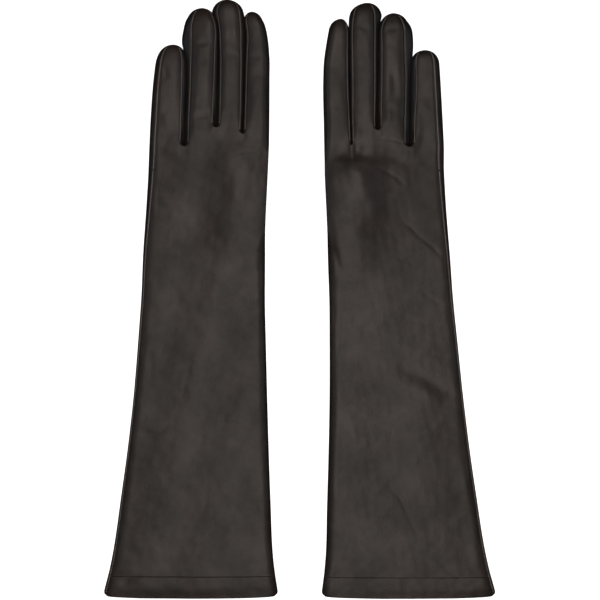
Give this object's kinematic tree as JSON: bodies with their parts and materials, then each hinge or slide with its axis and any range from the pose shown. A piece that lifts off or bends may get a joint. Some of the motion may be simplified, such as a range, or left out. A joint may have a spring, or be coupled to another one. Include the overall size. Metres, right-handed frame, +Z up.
{
  "type": "pair of long leather gloves",
  "caption": "Pair of long smooth leather gloves laid flat palms down, with sewn finger strips, hemmed flared cuffs and silk lining; wrists, fingers and thumbs bend.",
  "frame": {"origin": "centre of the pair on the surface it lies on", "axes": "+Y from the cuffs to the fingertips, +Z up from the palms to the backs of the hands, +X across from the left glove to the right glove"},
  "size_m": [0.2884, 0.44, 0.0158],
  "materials": {
    "leather": "smooth dark brown-black glove leather with a soft low sheen",
    "strip_leather": "the same leather, darker where it is folded between the fingers",
    "silk": "thin matt silk knit lining",
    "thread": "fine waxed sewing thread"
  },
  "bodies": {
    "left_forearm": {"left_sleeve_leather": "leather", "left_cuff_hem": "leather", "left_sleeve_lining": "silk", "left_sleeve_side_seam": "thread"},
    "left_hand": {"left_hand_leather": "leather", "left_hand_lining": "silk", "left_hand_side_seam": "thread"},
    "left_index": {"left_index_leather": "leather", "left_index_fourchette": "strip_leather", "left_index_lining": "silk", "left_index_seams": "thread"},
    "left_middle": {"left_middle_leather": "leather", "left_middle_fourchette_index_side": "strip_leather", "left_middle_fourchette_ring_side": "strip_leather", "left_middle_lining": "silk", "left_middle_seams": "thread"},
    "left_ring": {"left_ring_leather": "leather", "left_ring_fourchette_middle_side": "strip_leather", "left_ring_fourchette_little_side": "strip_leather", "left_ring_lining": "silk", "left_ring_seams": "thread"},
    "left_little": {"left_little_leather": "leather", "left_little_fourchette": "strip_leather", "left_little_lining": "silk", "left_little_seams": "thread"},
    "left_thumb": {"left_thumb_leather": "leather", "left_thumb_lining": "silk", "left_thumb_seam": "thread"},
    "right_forearm": {"right_sleeve_leather": "leather", "right_cuff_hem": "leather", "right_sleeve_lining": "silk", "right_sleeve_side_seam": "thread"},
    "right_hand": {"right_hand_leather": "leather", "right_hand_lining": "silk", "right_hand_side_seam": "thread"},
    "right_index": {"right_index_leather": "leather", "right_index_fourchette": "strip_leather", "right_index_lining": "silk", "right_index_seams": "thread"},
    "right_middle": {"right_middle_leather": "leather", "right_middle_fourchette_index_side": "strip_leather", "right_middle_fourchette_ring_side": "strip_leather", "right_middle_lining": "silk", "right_middle_seams": "thread"},
    "right_ring": {"right_ring_leather": "leather", "right_ring_fourchette_middle_side": "strip_leather", "right_ring_fourchette_little_side": "strip_leather", "right_ring_lining": "silk", "right_ring_seams": "thread"},
    "right_little": {"right_little_leather": "leather", "right_little_fourchette": "strip_leather", "right_little_lining": "silk", "right_little_seams": "thread"},
    "right_thumb": {"right_thumb_leather": "leather", "right_thumb_lining": "silk", "right_thumb_seam": "thread"}
  },
  "joints": [
    {"name": "left_wrist_bend", "type": "hinge", "parent": "left_forearm", "child": "left_hand", "pos_m": [-0.07015, 0.02828, 0.008], "axis": [0.9992, -0.041, 0], "range_deg": [0, 60]},
    {"name": "left_index_bend", "type": "hinge", "parent": "left_hand", "child": "left_index", "pos_m": [-0.03192, 0.13079, 0], "axis": [-0.9992, 0.041, 0], "range_deg": [-30, 90]},
    {"name": "left_middle_bend", "type": "hinge", "parent": "left_hand", "child": "left_middle", "pos_m": [-0.05194, 0.13562, 0], "axis": [-0.9992, 0.041, 0], "range_deg": [-30, 90]},
    {"name": "left_ring_bend", "type": "hinge", "parent": "left_hand", "child": "left_ring", "pos_m": [-0.07392, 0.13652, 0], "axis": [-0.9992, 0.041, 0], "range_deg": [-30, 90]},
    {"name": "left_little_bend", "type": "hinge", "parent": "left_hand", "child": "left_little", "pos_m": [-0.09833, 0.12451, 0], "axis": [-0.9992, 0.041, 0], "range_deg": [-30, 90]},
    {"name": "left_thumb_swing", "type": "hinge", "parent": "left_hand", "child": "left_thumb", "pos_m": [-0.04011, 0.05307, 0], "axis": [0, 0, -1], "range_deg": [0, 45]},
    {"name": "right_wrist_bend", "type": "hinge", "parent": "right_forearm", "child": "right_hand", "pos_m": [0.06598, 0.02736, 0.008], "axis": [0.9987, 0.0506, 0], "range_deg": [0, 60]},
    {"name": "right_index_bend", "type": "hinge", "parent": "right_hand", "child": "right_index", "pos_m": [0.02677, 0.12951, 0], "axis": [-0.9987, -0.0506, 0], "range_deg": [-30, 90]},
    {"name": "right_middle_bend", "type": "hinge", "parent": "right_hand", "child": "right_middle", "pos_m": [0.04674, 0.13453, 0], "axis": [-0.9987, -0.0506, 0], "range_deg": [-30, 90]},
    {"name": "right_ring_bend", "type": "hinge", "parent": "right_hand", "child": "right_ring", "pos_m": [0.06871, 0.13564, 0], "axis": [-0.9987, -0.0506, 0], "range_deg": [-30, 90]},
    {"name": "right_little_bend", "type": "hinge", "parent": "right_hand", "child": "right_little", "pos_m": [0.09324, 0.12387, 0], "axis": [-0.9987, -0.0506, 0], "range_deg": [-30, 90]},
    {"name": "right_thumb_swing", "type": "hinge", "parent": "right_hand", "child": "right_thumb", "pos_m": [0.03571, 0.05186, 0], "axis": [0, 0, 1], "range_deg": [0, 45]},
    {"name": "right_glove_lift", "type": "slide", "parent": "left_forearm", "child": "right_forearm", "axis": [0, 0, 1], "range_m": [0, 0.15]}
  ]
}
